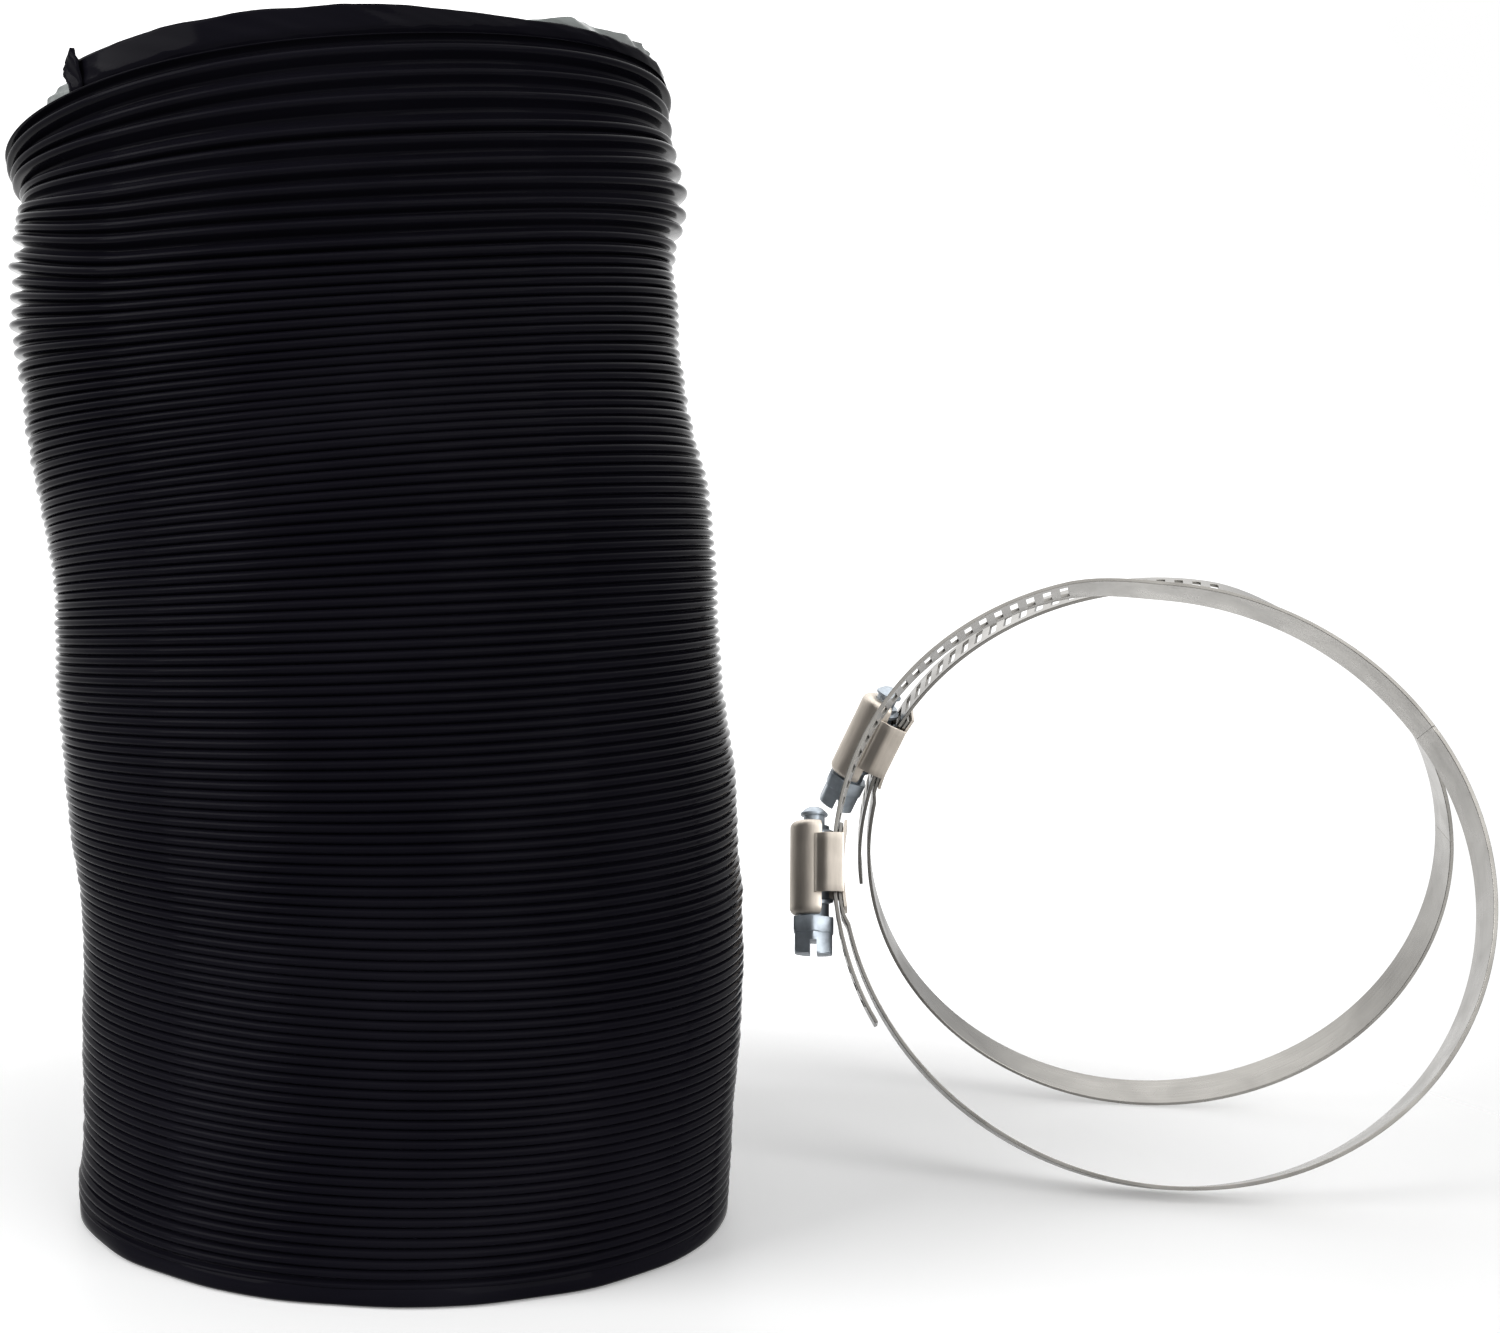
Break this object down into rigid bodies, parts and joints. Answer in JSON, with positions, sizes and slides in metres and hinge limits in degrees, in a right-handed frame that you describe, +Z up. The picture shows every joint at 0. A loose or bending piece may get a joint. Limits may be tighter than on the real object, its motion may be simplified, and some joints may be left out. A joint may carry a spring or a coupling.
{
  "type": "flexible air duct with hose clamps",
  "caption": "Black film air duct on a steel wire helix, packed short on its end, with slotted worm-drive hose clamps leaned together beside it.",
  "frame": {"origin": "middle of the duct's lower mouth, on the ground", "axes": "+Z up, along the duct; +Y away from the viewer; +X towards the clamps"},
  "size_m": [0.2628, 0.1248, 0.1822],
  "materials": {
    "black_film": "soft black vinyl film with a slight gloss",
    "inner_film": "thin grey vinyl film, folded",
    "clear_film": "thin clear vinyl film, crumpled",
    "spring_steel": "drawn spring wire",
    "band_steel": "brushed stainless strip",
    "housing_steel": "pressed stainless, warm and bright",
    "zinc_steel": "bluish zinc-plated steel"
  },
  "bodies": {
    "duct": {"outer_ply": "black_film", "inner_ply": "inner_film", "spring_wire": "spring_steel", "lower_hem": "black_film"},
    "free_end": {"upper_collar": "black_film", "upper_liner": "clear_film", "film_tab": "black_film"},
    "front_clamp": {"front_band": "band_steel", "front_saddle": "housing_steel", "front_housing": "housing_steel"},
    "front_slotted": {"front_slotted_end": "band_steel"},
    "front_worm": {"front_screw": "zinc_steel"},
    "rear_clamp": {"rear_band": "band_steel", "rear_saddle": "housing_steel", "rear_housing": "housing_steel"},
    "rear_slotted": {"rear_slotted_end": "band_steel"},
    "rear_worm": {"rear_screw": "zinc_steel"}
  },
  "joints": [
    {"name": "duct_stretch", "type": "slide", "parent": "duct", "child": "free_end", "axis": [0, 0, 1], "range_m": [0, 2.821], "deforming": ["outer_ply", "inner_ply", "spring_wire"]},
    {"name": "front_clamp_lift", "type": "slide", "parent": "duct", "child": "front_clamp", "axis": [0, 0, 1], "range_m": [0, 0.25]},
    {"name": "front_screw_turn", "type": "hinge", "parent": "front_clamp", "child": "front_worm", "pos_m": [0.07435, 0.02387, 0.05185], "axis": [0.0667, 0.2674, 0.9613], "range_deg": [-1800, 4680]},
    {"name": "front_band_draw", "type": "hinge", "parent": "front_clamp", "child": "front_slotted", "pos_m": [0.13, 0.01, 0.05185], "axis": [-0.2326, -0.9327, 0.2756], "range_deg": [-16.81, 43.39]},
    {"name": "rear_clamp_lift", "type": "slide", "parent": "duct", "child": "rear_clamp", "axis": [0, 0, 1], "range_m": [0, 0.25]},
    {"name": "rear_screw_turn", "type": "hinge", "parent": "rear_clamp", "child": "rear_worm", "pos_m": [0.09182, 0.05275, 0.07427], "axis": [0.3337, -0.3427, 0.8782], "range_deg": [-1800, 4680]},
    {"name": "rear_band_draw", "type": "hinge", "parent": "rear_clamp", "child": "rear_slotted", "pos_m": [0.14421, 0.04631, 0.05185], "axis": [-0.2326, -0.9327, -0.2756], "range_deg": [-16.81, 43.39]}
  ],
  "couplings": [
    {"joint": "front_band_draw", "follows": "front_screw_turn", "ratio": 0.0092289},
    {"joint": "rear_band_draw", "follows": "rear_screw_turn", "ratio": 0.0092289}
  ]
}
